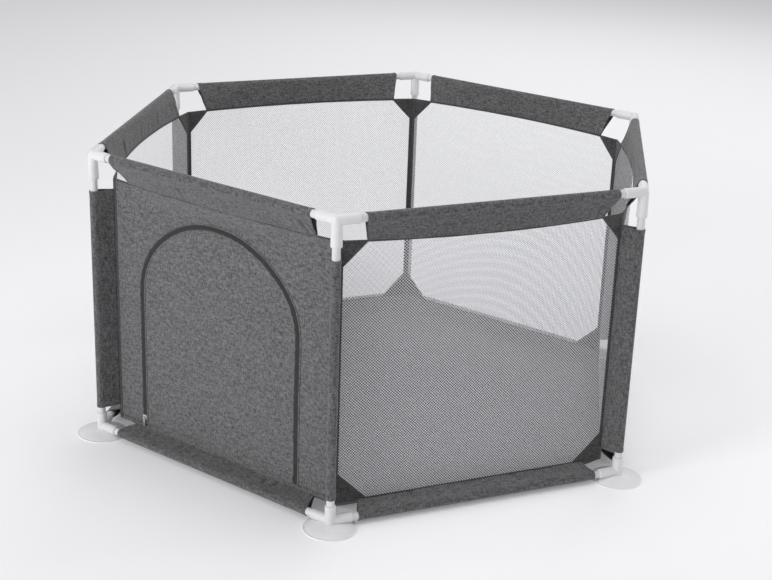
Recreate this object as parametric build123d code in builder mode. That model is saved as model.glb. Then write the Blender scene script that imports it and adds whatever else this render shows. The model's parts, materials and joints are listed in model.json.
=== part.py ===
from build123d import *
import os
from math import atan2, cos, degrees, radians, sin

# A six-sided play yard: eighteen steel tubes and twelve plastic corner connectors stand on six suction feet
# and carry a sewn fabric tub, five of whose walls are mesh and one is closed cloth with a zipped arch door.
# Millimetres. The origin is on the ground at the centre, +Z is up, corner 1 points along -Y and the corners
# count anticlockwise seen from above. Side k runs from corner k to corner k + 1.

os.makedirs("parts", exist_ok=True)

# Frame of tubes
sides = 6
side = 640.0  # between the axes of neighbouring posts
frame_rise = 607.0  # from the bottom rails' axes up to the top rails' axes
foot_lift = 17.0  # from the ground to the bottom rails' axes
tube_diameter = 16.0
tube_wall = 0.8
tube_stop = 16.0  # from a corner's centre to the end of each tube inside its socket

# Corner connectors
socket_clearance = 0.1
socket_wall = 2.15
arm_length = 44.0  # from the corner's centre to the mouth of each rail socket
top_socket_drop = 51.0  # how far the post socket of a top connector reaches below the rail axis
top_socket_flare = 1.0  # how much wider in radius that socket is at its mouth
bottom_socket_rise = 32.0
boss_proud = 0.4  # how much wider in radius a bottom connector's post socket is than its arms
mouth_chamfer = 0.8

# Suction feet
foot_radius = 53.0
foot_flange = 2.4  # thickness of the foot's thin outer rim
flange_width = 4.0
dome_height = 11.5
well_floor = 5.0  # height of the seat that the connector's boss stands on
cup_hollow = 2.6  # height of the hollow under the cup
hollow_radius = 24.5  # where that hollow reaches its full height
dome_shoulder = (0.65, 0.72)  # shares of the dome's radius and height that its curve passes through
dome_slopes = (-0.1, -0.5)  # of that curve at the well and at the rim
stud_radius = 4.5
stud_length = 9.0
foot_clearance = 0.3

# Sewn tub
band_reach = 41.6  # from a post's axis in to the tub's corner edge
tub_bottom = 16.0  # above the bottom rails' axes
tub_drop = 54.0  # from the top rails' axes down to the tub's top edge
cloth = 1.6
mesh_cloth = 1.2
sleeve_cloth = 1.2
sleeve_ease = 0.3  # slack between a sleeve and its tube
seam_radius = 1.5  # half the thickness of a sleeve where it is sewn to the tub
seam_gap = 0.3
binding_radius = 2.0

# Where the sleeves stop short of the corners
rail_sleeve_start = 57.0  # from the corner, along a rail
tub_sleeve_start = 50.0  # from the tub's corner, along the tub's edge
post_sleeve_low = 46.0  # above the bottom rails' axes
post_sleeve_high = 76.0  # below the top rails' axes

# Cloth gussets in the corners of the mesh walls: width along the wall, height
top_gusset = (50.0, 52.0)
bottom_gusset = (66.0, 62.0)

# Floor of the tub
mat_lift = 1.0
mat_rim = 38.0  # how far in from the walls the floor meets the ground

# Arch door and its zip
door_half_width = 211.0  # to the zip's centre line
door_offset = -10.5  # of the door's middle from the wall's middle
door_headroom = 55.0  # from the zip's crown up to the tub's top edge
haunch_radius = 140.0
crown_rise = 168.0  # from the end of the straight legs up to the crown
hinge_height = 22.0  # fold line of the flap, above the bottom rails' axes
hinge_gap = 1.2
tape_width = 7.0
tape_cloth = 1.2
tape_gap = 1.6  # the teeth's channel between the two tapes
tape_joint = 0.1

# Zip slider and pull
slider_width = 11.0
slider_height = 12.0
slider_corner = 2.75
slider_plate = 1.8
slider_back_plate = 0.9
slider_gap = 1.0  # from the slider up to where the flap's tape starts
slider_clearance = 0.3
slider_rise = 16.0  # from the fold line to the slider's middle
slider_post = (1.0, 5.0)  # width and height of the bridge between its plates
pin_radius = 0.7
pin_stand = 2.6  # from the slider's face out to the pull's pin
ear_width = 1.0
ear_height = 3.4
eye_width = 3.8
eye_radius = 2.0
pull_width = 5.6
pull_corner = 1.8
pull_length = 21.0
pull_thickness = 1.2
pull_neck = 4.5  # narrow length between the eye and the tab

tube_radius = tube_diameter / 2
bore_radius = tube_radius + socket_clearance
arm_radius = bore_radius + socket_wall
boss_radius = arm_radius + boss_proud
sleeve_bore = tube_radius + sleeve_ease
sleeve_radius = sleeve_bore + sleeve_cloth
turn = 360.0 / sides
half_turn = turn / 2
corner_radius = side / (2 * sin(radians(half_turn)))
apothem = corner_radius * cos(radians(half_turn))
tub_corner = corner_radius - band_reach
tub_inset = band_reach * cos(radians(half_turn))
tub_half = tub_corner * sin(radians(half_turn))
tub_top = frame_rise - tub_drop
wall_half = tub_half - binding_radius - 2 * seam_gap
wall_height = tub_top - tub_bottom
wall_middle = (tub_top + tub_bottom) / 2
door_spring = tub_top - door_headroom - crown_rise
rail_sleeve_half = side / 2 - rail_sleeve_start
sleeve_slant = (rail_sleeve_half - (tub_half - tub_sleeve_start)) / tub_inset
bottom_z = foot_lift
top_z = foot_lift + frame_rise
numbers = range(1, sides + 1)
door_side = sides
mesh_sides = range(1, sides)
Z = Vector(0, 0, 1)


def corner(number, height, radius=corner_radius):
    """The point on the post axis of a corner, at a height above the ground."""
    angle = radians(-90.0 + turn * (number - 1))
    return Vector(radius * cos(angle), radius * sin(angle), height)


def along(number):
    """Unit vector along a side, from its corner to the next one."""
    return (corner(number + 1, 0) - corner(number, 0)).normalized()


def outward(number):
    """Unit vector out of a side."""
    return along(number).cross(Z)


def wall_plane(number):
    """The plane of a wall of the tub: x along the side, y up from the bottom rail's axis, z outward."""
    middle = outward(number) * (apothem - tub_inset) + Z * bottom_z
    return Plane(origin=middle, x_dir=along(number), z_dir=outward(number))


def cross_plane(number, height):
    """The plane across a rail at its middle: x outward, y up."""
    middle = outward(number) * apothem + Z * height
    return Plane(origin=middle, x_dir=outward(number), z_dir=-along(number))


def keep(piece, name):
    piece.part.label = name
    export_step(piece.part, f"parts/{name}.step")


def turned(number):
    """Where a piece made at corner or side 1 stands at another corner or side."""
    return Location((0, 0, 0), (0, 0, turn * (number - 1)))


def keep_each(piece, name, chosen=numbers):
    """Writes a copy of a piece made at corner or side 1 for each chosen one, as nodes of their own."""
    for number in chosen:
        with BuildPart() as copy:
            with Locations(turned(number)):
                add(piece.part)
        keep(copy, f"{name}_{number}")


def keep_group(piece, name, chosen=numbers):
    """Writes the copies of a piece made at corner or side 1 as one node of separate solids."""
    with BuildPart() as group:
        with Locations(*[turned(number) for number in chosen]):
            add(piece.part)
    keep(group, name)


# Tubes --------------------------------------------------------------------------------------------
rail_direction = along(1)
for name, start, direction, length in (
    ("top_rail", corner(1, top_z) + rail_direction * tube_stop, rail_direction, side - 2 * tube_stop),
    ("bottom_rail", corner(1, bottom_z) + rail_direction * tube_stop, rail_direction, side - 2 * tube_stop),
    ("post", corner(1, bottom_z + tube_stop), Z, frame_rise - 2 * tube_stop),
):
    with BuildPart() as tube:
        with BuildSketch(Plane(origin=start, z_dir=direction)):
            Circle(tube_radius)
            Circle(tube_radius - tube_wall, mode=Mode.SUBTRACT)
        extrude(amount=length)
    keep_each(tube, name)

# Corner connectors --------------------------------------------------------------------------------
arms = (along(1), -along(sides))  # the directions in which the two rails leave corner 1


def add_arms(centre):
    """Adds the two rail sockets' outsides to the connector being built."""
    for direction in arms:
        with BuildSketch(Plane(origin=centre, z_dir=direction)) as arm:
            Circle(arm_radius)
        extrude(arm.sketch, amount=arm_length)


def bore_sockets(centre, sockets):
    """Cuts each socket's bore, from the end of its tube out through its mouth."""
    for direction, length in sockets:
        with BuildSketch(Plane(origin=centre + direction * tube_stop, z_dir=direction)) as bore:
            Circle(bore_radius)
        extrude(bore.sketch, amount=length - tube_stop, mode=Mode.SUBTRACT)


def break_mouths(piece, centre, sockets):
    """Chamfers the outer edge of each socket's mouth."""
    for direction, _ in sockets:
        mouth = piece.faces().sort_by(Axis(centre, direction))[-1]
        chamfer(mouth.outer_wire().edges(), mouth_chamfer)


top_centre = corner(1, top_z)
top_sockets = ((arms[0], arm_length), (arms[1], arm_length), (-Z, top_socket_drop))
with BuildPart(Plane(origin=top_centre)) as top_connector:
    Sphere(arm_radius)
    Cone(
        arm_radius + top_socket_flare,
        arm_radius,
        top_socket_drop,
        align=(Align.CENTER, Align.CENTER, Align.MAX),
    )
    add_arms(top_centre)
    bore_sockets(top_centre, top_sockets)
    break_mouths(top_connector, top_centre, top_sockets)
keep_each(top_connector, "top_connector")

bottom_centre = corner(1, bottom_z)
bottom_sockets = ((arms[0], arm_length), (arms[1], arm_length), (Z, bottom_socket_rise))
boss_low = well_floor + foot_clearance
with BuildPart(Plane(origin=corner(1, boss_low))) as bottom_connector:
    Cylinder(
        boss_radius,
        bottom_z + bottom_socket_rise - boss_low,
        align=(Align.CENTER, Align.CENTER, Align.MIN),
    )
    add_arms(bottom_centre)
    bore_sockets(bottom_centre, bottom_sockets)
    break_mouths(bottom_connector, bottom_centre, bottom_sockets)
    with BuildSketch(Plane(origin=corner(1, boss_low))):
        Circle(stud_radius + socket_clearance)
    extrude(amount=stud_length, mode=Mode.SUBTRACT)
keep_each(bottom_connector, "bottom_connector")

# Suction feet -------------------------------------------------------------------------------------
base = corner(1, 0)
dome_radius = foot_radius - flange_width
well_radius = boss_radius + foot_clearance
with BuildPart() as suction_foot:
    with BuildSketch(Plane(origin=base, x_dir=(1, 0, 0), z_dir=(0, -1, 0))):
        with BuildLine():
            Polyline(
                (0, cup_hollow),
                (0, well_floor + stud_length),
                (stud_radius, well_floor + stud_length),
                (stud_radius, well_floor),
                (well_radius, well_floor),
                (well_radius, dome_height),
            )
            dome = Spline(
                (well_radius, dome_height),
                (dome_radius * dome_shoulder[0], dome_height * dome_shoulder[1]),
                (dome_radius, foot_flange),
                tangents=[(1, slope) for slope in dome_slopes],
            )
            Polyline(
                dome @ 1,
                (foot_radius, foot_flange),
                (foot_radius, 0),
                (dome_radius, 0),
                (hollow_radius, cup_hollow),
                (0, cup_hollow),
            )
        make_face()
    revolve(axis=Axis(base, (0, 0, 1)))
    for direction in arms:
        with BuildSketch(Plane(origin=bottom_centre, z_dir=direction)):
            Circle(arm_radius + foot_clearance)
        extrude(amount=foot_radius, mode=Mode.SUBTRACT)
keep_each(suction_foot, "suction_foot")


# Sleeves of the sewn tub --------------------------------------------------------------------------
def sleeve_profile(reach, rise):
    """Draws a cloth loop round a tube at the origin, drawn together to its seam at (-reach, rise)."""
    Circle(sleeve_radius)
    with Locations((-reach, rise)):
        Circle(seam_radius)
    make_hull()
    Circle(sleeve_bore, mode=Mode.SUBTRACT)


for name, height, seam_height in (
    ("top_sleeves", top_z, tub_top + seam_radius + seam_gap),
    ("bottom_sleeves", bottom_z, tub_bottom - seam_radius - seam_gap),
):
    middle = outward(1) * apothem + Z * height
    with BuildPart() as rail_sleeve:
        with BuildSketch(cross_plane(1, height)):
            sleeve_profile(tub_inset, bottom_z + seam_height - height)
        extrude(amount=rail_sleeve_half + sleeve_slant * sleeve_radius, both=True)
        for way in (1, -1):
            end = middle + along(1) * (way * rail_sleeve_half)
            past_end = along(1) * way - outward(1) * sleeve_slant
            split(bisect_by=Plane(origin=end, z_dir=past_end), keep=Keep.BOTTOM)
    keep_group(rail_sleeve, name)

with BuildPart() as post_sleeve:
    low = corner(1, bottom_z + post_sleeve_low)
    with BuildSketch(Plane(origin=low, x_dir=corner(1, 0), z_dir=(0, 0, 1))):
        sleeve_profile(band_reach - binding_radius - seam_gap - seam_radius, 0)
    extrude(amount=frame_rise - post_sleeve_low - post_sleeve_high)
keep_group(post_sleeve, "post_sleeves")

with BuildPart() as corner_binding:
    with BuildSketch(Plane(origin=corner(1, bottom_z + tub_bottom, tub_corner))):
        Circle(binding_radius)
    extrude(amount=tub_top - tub_bottom)
keep_group(corner_binding, "corner_bindings")

# Walls of the tub ---------------------------------------------------------------------------------
gusset_seats = [
    (way, level, up, size)
    for way in (1, -1)
    for level, up, size in ((tub_top, -1, top_gusset), (tub_bottom, 1, bottom_gusset))
]


def gusset_triangle(way, level, up, size, gap):
    """Draws a gusset in a corner of a mesh wall, its slanted edge drawn back by a gap."""
    width, height = size
    edge_point = (way * (wall_half - width + gap), level)
    side_point = (way * wall_half, level + up * (height - gap))
    Polyline((way * wall_half, level), edge_point, side_point, close=True)


with BuildPart() as mesh_wall:
    with BuildSketch(wall_plane(1)):
        with Locations((0, wall_middle)):
            Rectangle(2 * wall_half, wall_height)
        for seat in gusset_seats:
            with BuildLine():
                gusset_triangle(*seat, 0)
            make_face(mode=Mode.SUBTRACT)
    extrude(amount=mesh_cloth / 2, both=True)
keep_each(mesh_wall, "mesh_wall", mesh_sides)

for name, chosen_up in (("top_gussets", -1), ("bottom_gussets", 1)):
    with BuildPart() as gussets:
        for seat in gusset_seats:
            if seat[2] == chosen_up:
                with BuildSketch(wall_plane(1)):
                    with BuildLine():
                        gusset_triangle(*seat, seam_gap)
                    make_face()
                extrude(amount=cloth / 2, both=True)
    keep_group(gussets, name, mesh_sides)

# Door wall ----------------------------------------------------------------------------------------
haunch_centre = door_half_width - haunch_radius
crown_radius = (haunch_centre**2 + crown_rise**2 - haunch_radius**2) / (2 * (crown_rise - haunch_radius))
crown_drop = crown_radius - crown_rise
haunch_sweep = degrees(atan2(crown_drop, haunch_centre))


def arch(grow, left_foot, right_foot):
    """Draws the door's outline, grown outward from the zip's line: two legs and a three-centred arch."""
    half = door_half_width + grow
    middle = door_offset
    Line((middle - half, left_foot), (middle - half, door_spring))
    CenterArc((middle - haunch_centre, door_spring), haunch_radius + grow, 180, -haunch_sweep)
    CenterArc(
        (middle, door_spring - crown_drop),
        crown_radius + grow,
        180 - haunch_sweep,
        2 * haunch_sweep - 180,
    )
    CenterArc((middle + haunch_centre, door_spring), haunch_radius + grow, haunch_sweep, -haunch_sweep)
    Line((middle + half, door_spring), (middle + half, right_foot))
    Line((middle + half, right_foot), (middle - half, left_foot))


door_plane = wall_plane(door_side)
fold = hinge_height

with BuildPart() as door_wall:
    with BuildSketch(door_plane):
        with Locations((0, wall_middle)):
            Rectangle(2 * wall_half, wall_height)
        with BuildLine():
            arch(tape_width, fold - hinge_gap, fold - hinge_gap)
        make_face(mode=Mode.SUBTRACT)
    extrude(amount=cloth / 2, both=True)
keep(door_wall, "door_wall")

with BuildPart() as door_flap:
    with BuildSketch(door_plane):
        with BuildLine():
            arch(-tape_width, fold + seam_gap, fold + seam_gap)
        make_face()
    extrude(amount=cloth / 2, both=True)
keep(door_flap, "door_flap")

with BuildPart() as zip_tape_wall:
    with BuildSketch(door_plane):
        with BuildLine():
            arch(tape_width - tape_joint, fold, fold)
        make_face()
        with BuildLine():
            arch(tape_gap / 2, fold, fold)
        make_face(mode=Mode.SUBTRACT)
    extrude(amount=tape_cloth / 2, both=True)
keep(zip_tape_wall, "zip_tape_wall")

slider_middle = fold + slider_rise
tape_start = slider_middle + slider_height / 2 + slider_gap
leg = door_offset - door_half_width
with BuildPart() as zip_tape_door:
    with BuildSketch(door_plane):
        with BuildLine():
            arch(-tape_gap / 2, fold + seam_gap, fold + seam_gap)
        make_face()
        with BuildLine():
            arch(-tape_width + tape_joint, fold + seam_gap, fold + seam_gap)
        make_face(mode=Mode.SUBTRACT)
        with Locations((leg, tape_start)):
            Rectangle(4 * tape_width, tape_start, align=(Align.CENTER, Align.MAX), mode=Mode.SUBTRACT)
    extrude(amount=tape_cloth / 2, both=True)
keep(zip_tape_door, "zip_tape_door")

# Zip slider and pull ------------------------------------------------------------------------------
slider_face = tape_cloth / 2 + slider_clearance
pin_out = slider_face + slider_plate + pin_stand
slider_origin = door_plane.from_local_coords((leg, slider_middle, 0))
pin_origin = door_plane.from_local_coords((leg, slider_middle, pin_out))
slider_plane = Plane(origin=slider_origin, x_dir=door_plane.x_dir, z_dir=door_plane.z_dir)
pin_plane = Plane(origin=pin_origin, x_dir=-door_plane.z_dir, z_dir=door_plane.x_dir)
pull_plane = Plane(origin=pin_origin, x_dir=door_plane.x_dir, z_dir=door_plane.z_dir)

with BuildPart() as zip_slider:
    for face, thickness in ((slider_face, slider_plate), (-slider_face, -slider_back_plate)):
        with BuildSketch(slider_plane.offset(face)):
            RectangleRounded(slider_width, slider_height, slider_corner)
        extrude(amount=thickness)
    with BuildSketch(slider_plane.offset(-slider_face)):
        Rectangle(*slider_post)
    extrude(amount=2 * slider_face)
    ear_gap = eye_width + 2 * slider_clearance
    for way in (1, -1):
        with BuildSketch(pin_plane.offset(way * (ear_gap + ear_width) / 2)):
            Circle(ear_height / 2)
            with Locations((pin_stand / 2, 0)):
                Rectangle(pin_stand, ear_height)
        extrude(amount=ear_width / 2, both=True)
    with BuildSketch(pin_plane):
        Circle(pin_radius)
    extrude(amount=ear_gap / 2, both=True)
keep(zip_slider, "zip_slider")

with BuildPart() as zip_pull:
    with BuildSketch(pin_plane):
        Circle(eye_radius)
    extrude(amount=eye_width / 2, both=True)
    with BuildSketch(pull_plane):
        with Locations((0, -pull_neck / 2)):
            Rectangle(eye_width, pull_neck)
        with Locations((0, -pull_neck - (pull_length - pull_neck) / 2)):
            RectangleRounded(pull_width, pull_length - pull_neck, pull_corner)
    extrude(amount=pull_thickness / 2, both=True)
    with BuildSketch(pin_plane):
        Circle(pin_radius + slider_clearance)
    extrude(amount=eye_width, both=True, mode=Mode.SUBTRACT)
keep(zip_pull, "zip_pull")

# Floor of the tub ---------------------------------------------------------------------------------
mat_apothem = apothem - tub_inset - mat_rim
to_radius = 1 / cos(radians(half_turn))
with BuildPart() as tub_floor:
    with BuildSketch(Plane.XY.offset(mat_lift)):
        RegularPolygon(mat_apothem * to_radius, sides, rotation=half_turn)
    extrude(amount=cloth)
keep(tub_floor, "tub_floor")

skirt_out = (-tub_inset - cloth, tub_bottom - 2 * seam_radius - 2 * seam_gap)
skirt_in = (-tub_inset - mat_rim + cloth / 2 + seam_gap, mat_lift + cloth / 2 - bottom_z)
with BuildPart() as floor_skirt:
    with BuildSketch(cross_plane(1, bottom_z)):
        with BuildLine():
            Line(skirt_out, skirt_in)
            offset(amount=cloth / 2)
        make_face()
    extrude(amount=tub_half, both=True)
    for beside, way in ((corner(1, 0), -1), (corner(2, 0), 1)):
        mitre = Plane(origin=(0, 0, 0), z_dir=Z.cross(beside) * way).offset(-seam_gap)
        split(bisect_by=mitre, keep=Keep.BOTTOM)
keep_group(floor_skirt, "floor_skirt")
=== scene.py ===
import json
from math import atan2, cos, pi, radians, sin

import bpy
import numpy as np
from bpy.props import FloatProperty, FloatVectorProperty, IntProperty, PointerProperty
from mathutils import Matrix, Vector


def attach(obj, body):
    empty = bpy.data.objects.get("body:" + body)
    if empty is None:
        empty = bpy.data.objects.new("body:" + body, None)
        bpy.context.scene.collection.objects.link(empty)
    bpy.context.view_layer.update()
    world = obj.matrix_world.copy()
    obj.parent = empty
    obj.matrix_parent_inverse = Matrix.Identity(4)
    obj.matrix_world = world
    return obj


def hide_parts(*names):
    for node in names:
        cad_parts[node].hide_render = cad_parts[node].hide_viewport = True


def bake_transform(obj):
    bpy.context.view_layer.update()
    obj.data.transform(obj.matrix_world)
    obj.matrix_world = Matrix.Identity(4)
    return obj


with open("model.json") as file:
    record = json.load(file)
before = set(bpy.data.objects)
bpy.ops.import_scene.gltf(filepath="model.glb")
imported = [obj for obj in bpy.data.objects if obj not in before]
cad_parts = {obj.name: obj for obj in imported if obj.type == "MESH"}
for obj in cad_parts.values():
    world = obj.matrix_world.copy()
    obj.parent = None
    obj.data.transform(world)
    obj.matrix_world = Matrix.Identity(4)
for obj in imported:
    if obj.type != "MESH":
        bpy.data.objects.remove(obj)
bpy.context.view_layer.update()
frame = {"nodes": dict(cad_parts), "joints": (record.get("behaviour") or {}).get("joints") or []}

bl_info = {
    "name": "Play Yard",
    "version": (1, 0, 0),
    "blender": (4, 5, 0),
    "location": "3D View > Sidebar > Play Yard",
    "description": "Sews the cloth of a six-sided play yard round its frame and gives every part its finish",
    "category": "Add Mesh",
}

MM = 0.001
SIDES = 6
DOOR_SIDE = 6
NET_SIDES = range(1, SIDES)
NUMBERS = range(1, SIDES + 1)
UP = np.array((0.0, 0.0, 1.0))


# Where things are, read from the frame -------------------------------------------------------------
def node_points(node):
    """The vertices of a CAD node as an array of points."""
    mesh = frame["nodes"][node].data
    points = np.empty(len(mesh.vertices) * 3)
    mesh.vertices.foreach_get("co", points)
    return points.reshape(-1, 3)


def span(node, direction):
    """The lowest and highest reach of a CAD node along a direction."""
    reach = node_points(node) @ np.asarray(direction)
    return reach.min(), reach.max()


def outer_way(number):
    """Unit vector from the middle of the play yard towards a corner post."""
    angle = radians(-90.0 + 60.0 * (number - 1))
    return np.array((cos(angle), sin(angle), 0.0))


def side_way(number):
    """Unit vector along a side, from its corner to the next one, anticlockwise from above."""
    way = outer_way(number + 1) - outer_way(number)
    return way / np.linalg.norm(way)


def wall_way(number):
    """Unit vector straight out of a side."""
    return np.cross(side_way(number), UP)


POST_REACH = float(np.mean(span("post_1", outer_way(1))))
RAIL_REACH = float(np.mean(span("top_rail_1", wall_way(1))))
TOP_RAIL = float(np.mean(span("top_rail_1", UP)))
BOTTOM_RAIL = float(np.mean(span("bottom_rail_1", UP)))
TUB_BOTTOM, TUB_TOP = (float(z) for z in span("corner_bindings", UP))
TUB_HEIGHT = TUB_TOP - TUB_BOTTOM
WALL_REACH = float(np.mean(span("mesh_wall_1", wall_way(1))))
TUB_CORNER = WALL_REACH / cos(pi / SIDES)
TUB_HALF = TUB_CORNER * sin(pi / SIDES)
SLEEVE_RADIUS = span("top_sleeves", UP)[1] - TOP_RAIL
POST_SLEEVE = [float(z) for z in span("post_sleeves", UP)]
FLOOR_TOP = float(span("tub_floor", UP)[1])
FLAT_REACH = float(span("tub_floor", wall_way(1))[1])
DOOR_WAY = side_way(DOOR_SIDE)
FLAP_LEFT, FLAP_RIGHT = span("door_flap", DOOR_WAY)
FLAP_FOOT, FLAP_TOP = (float(z) for z in span("door_flap", UP))
TAPE_LEFT, TAPE_RIGHT = span("zip_tape_wall", DOOR_WAY)
TAPE_TOP = float(span("zip_tape_wall", UP)[1])
DOOR_MIDDLE = float(FLAP_LEFT + FLAP_RIGHT) / 2
DOOR_HALF = float(TAPE_RIGHT - TAPE_LEFT + FLAP_RIGHT - FLAP_LEFT) / 4
DOOR_CROWN = (FLAP_TOP + TAPE_TOP) / 2
FOLD = next(joint for joint in frame["joints"] if joint["name"] == "door_fold")["pos_m"][2]
SLIDER_TOP = 340 * MM  # the zip slider stays below this at the end of its travel
ARCH_TOP = DOOR_CROWN + 10 * MM  # the rail draws the door wall outward only above here
CROWN_LIFT = 9 * MM  # the rail pulls the cloth round the arch's crown up by this much
SEAM_RADIUS = 0.9 * MM  # the small round that a sleeve's two flats run out to

# Added to the user's seed, with the number of the side or corner, for a piece's own creases
SLEEVE_SEEDS = {"top": 30, "bottom": 60, "post": 100}
NET_SEED = 200
EDGE_SEEDS = {"top": 330, "bottom": 360}
FLOOR_SEED = 400


# Sizes and colours ---------------------------------------------------------------------------------
def measure(name, description, millimetres):
    """A length that the user can set."""
    return FloatProperty(name=name, description=description, default=millimetres * MM, unit="LENGTH")


def width_and_height(name, wide, high):
    """A pair of lengths that the user can set."""
    default = (wide * MM, high * MM)
    return FloatVectorProperty(
        name=name, description="Width and height", default=default, size=2, unit="LENGTH"
    )


def tint(name, description, *linear):
    """A colour that the user can set, as linear red, green and blue."""
    return FloatVectorProperty(name=name, description=description, default=linear, size=3, subtype="COLOR")


class Sizes(bpy.types.PropertyGroup):
    """Sizes of the sewn parts that the frame doesn't give."""

    cloth: measure("Cloth", "Thickness of the linen cloth", 1.2)
    rail_gap: measure("Rail Gap", "From a corner to where a rail's sleeve starts, along the rail", 57)
    tub_gap: measure("Tub Gap", "From the tub's corner to where that sleeve starts, along its edge", 50)
    top_gusset: width_and_height("Top Gusset", 50, 52)
    bottom_gusset: width_and_height("Bottom Gusset", 66, 62)
    haunch: measure("Haunch", "Radius of the arch door's shoulders", 140)
    crown: measure("Crown", "From the end of the door's straight legs up to its crown", 168)
    draw: measure("Draw", "How far the rails draw the walls' top edges outward", 30)
    welt: measure("Welt", "From the zip's middle out to its welts", 7)
    tooth_pitch: measure("Tooth Pitch", "From one tooth of a row to the next", 2.6)
    net_pitch: measure("Net Pitch", "Width of the net's repeat", 6.0)
    seed: IntProperty(name="Seed", description="Seed of every crease and pucker", default=11)


class Colours(bpy.types.PropertyGroup):
    """Colours of the finishes."""

    linen_dark: tint("Linen Dark", "Dark yarn", 0.045, 0.045, 0.047)
    linen_light: tint("Linen Light", "Light yarn", 0.215, 0.215, 0.218)
    binding: tint("Binding", "Tapes and cords", 0.045, 0.045, 0.047)
    zip_tape: tint("Zip Tape", "Tapes and teeth", 0.026, 0.026, 0.027)
    floor: tint("Floor", "Coated floor cloth", 0.085, 0.085, 0.088)
    net: tint("Net", "Net yarn", 0.90, 0.90, 0.94)
    plastic: tint("Plastic", "Moulded connectors", 0.78, 0.78, 0.79)
    tube: tint("Tube", "Coated steel tubes", 0.74, 0.74, 0.75)
    foot: tint("Foot", "Soft suction feet", 0.88, 0.88, 0.89)
    metal: tint("Metal", "Slider and pull", 0.93, 0.93, 0.94)


# Shaders ------------------------------------------------------------------------------------------
class Field:
    """A number that varies over a surface. Arithmetic on it adds Math nodes to its finish."""

    def __init__(self, finish, socket):
        self.finish = finish
        self.socket = socket

    def math(self, operation, *values):
        inputs = dict(enumerate(values))
        return self.finish.add("ShaderNodeMath", {"operation": operation}, inputs)

    def __add__(self, other):
        return self.math("ADD", self, other)

    def __radd__(self, other):
        return self.math("ADD", other, self)

    def __sub__(self, other):
        return self.math("SUBTRACT", self, other)

    def __rsub__(self, other):
        return self.math("SUBTRACT", other, self)

    def __mul__(self, other):
        return self.math("MULTIPLY", self, other)

    def __rmul__(self, other):
        return self.math("MULTIPLY", other, self)

    def __truediv__(self, other):
        return self.math("DIVIDE", self, other)

    def below(self, limit, edge):
        """1 under the limit and 0 over it, with a soft edge of that width."""
        return ((limit - self) / edge + 0.5).clamp()

    def clamp(self):
        inputs = {0: self, 1: 0.0, 2: 1.0}
        return self.finish.add("ShaderNodeClamp", {}, inputs)

    def sine(self):
        return self.math("SINE", self)

    def fraction(self):
        return self.math("FRACT", self)

    def lesser(self, other):
        return self.math("MINIMUM", self, other)


class Finish:
    """A material being made: its nodes, and the Principled shader that they feed."""

    def __init__(self, name, **constants):
        self.material = bpy.data.materials.new(name)
        self.material.use_nodes = True
        self.tree = self.material.node_tree
        self.shader = self.tree.nodes["Principled BSDF"]
        for socket, value in constants.items():
            self.set(self.shader, {socket.replace("_", " "): value})

    def set(self, node, inputs):
        for key, value in inputs.items():
            if isinstance(value, Field):
                self.tree.links.new(value.socket, node.inputs[key])
            else:
                node.inputs[key].default_value = value

    def add(self, kind, settings, inputs, output=0):
        """Adds a node of a type: its settings first, then the values or links of its sockets."""
        node = self.tree.nodes.new(kind)
        for name, value in settings.items():
            setattr(node, name, value)
        self.set(node, inputs)
        return Field(self, node.outputs[output])

    def coordinates(self, source):
        """The surface's own UV map in metres, or its Object coordinates."""
        return self.add("ShaderNodeTexCoord", {}, {}, source)

    def split(self, vector):
        parts = self.tree.nodes.new("ShaderNodeSeparateXYZ")
        self.set(parts, {0: vector})
        return [Field(self, output) for output in parts.outputs]

    def join(self, x, y, z=0.0):
        return self.add("ShaderNodeCombineXYZ", {}, {0: x, 1: y, 2: z})

    def noise(self, vector, scale, detail=2.0):
        inputs = {"Vector": vector, "Scale": scale, "Detail": detail}
        return self.add("ShaderNodeTexNoise", {}, inputs)

    def specks(self, u, v, across, along, detail=2.0, shift=0.0):
        """Noise on a piece's UV map, with about so many specks to the metre each way."""
        return self.noise(self.join(u * across, v * along, shift), 1.0, detail)

    def mix(self, share, first, second):
        """A colour between two colours."""
        colours = [c if isinstance(c, Field) else (*c, 1.0) for c in (first, second)]
        inputs = {0: share, 6: colours[0], 7: colours[1]}
        return self.add("ShaderNodeMix", {"data_type": "RGBA"}, inputs, 2)

    def bump(self, height, distance):
        """Raises the surface by a height from 0 to 1, times a distance in metres."""
        normal = self.add("ShaderNodeBump", {}, {"Height": height, "Distance": distance})
        self.set(self.shader, {"Normal": normal})

    def colour(self, value):
        self.set(self.shader, {"Base Color": value})


def contrast(field, low, high):
    """Stretches a field so that low becomes 0 and high becomes 1, cut off beyond them."""
    return ((field - low) / (high - low)).clamp()


def shaded(colour, share):
    """A colour with each of its parts multiplied by a number."""
    return tuple(share * part for part in colour)


def weave(u, v, pitch):
    """Height of a plain weave: threads of a pitch that pass over and under each other."""
    turns = pi / pitch
    over = (u * turns).sine() * (v * turns).sine()
    return over * over


def linen_finish(name, dark, light, shade=1.0):
    """Heathered linen: slubs run along both thread ways over a fine plain weave."""
    finish = Finish(name, Roughness=0.92, Sheen_Weight=0.25, Sheen_Roughness=0.5, Specular_IOR_Level=0.25)
    u, v, _ = finish.split(finish.coordinates("UV"))
    slub_wide, slub_long = 340.0, 110.0
    warp = finish.specks(u, v, slub_wide, slub_long)
    weft = finish.specks(u, v, slub_long, slub_wide, shift=3.7)
    fine = finish.specks(u, v, 900.0, 900.0, detail=1.0, shift=7.1)
    cloud = finish.specks(u, v, 45.0, 45.0, detail=3.0, shift=1.3)
    heather = contrast(warp * 0.42 + weft * 0.42 + fine * 0.16, 0.39, 0.62)
    tone = (heather * 0.82 + cloud * 0.18).clamp()
    # The share darkens both yarns. For the gussets it is their darker cloth; for the sleeves it is painted
    # shade.
    finish.colour(finish.mix(tone, shaded(dark, shade), shaded(light, shade)))
    height = weave(u, v, 1.3 * MM) * 0.5 + heather * 0.5
    finish.bump(height, 0.35 * MM)
    return finish.material


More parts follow.
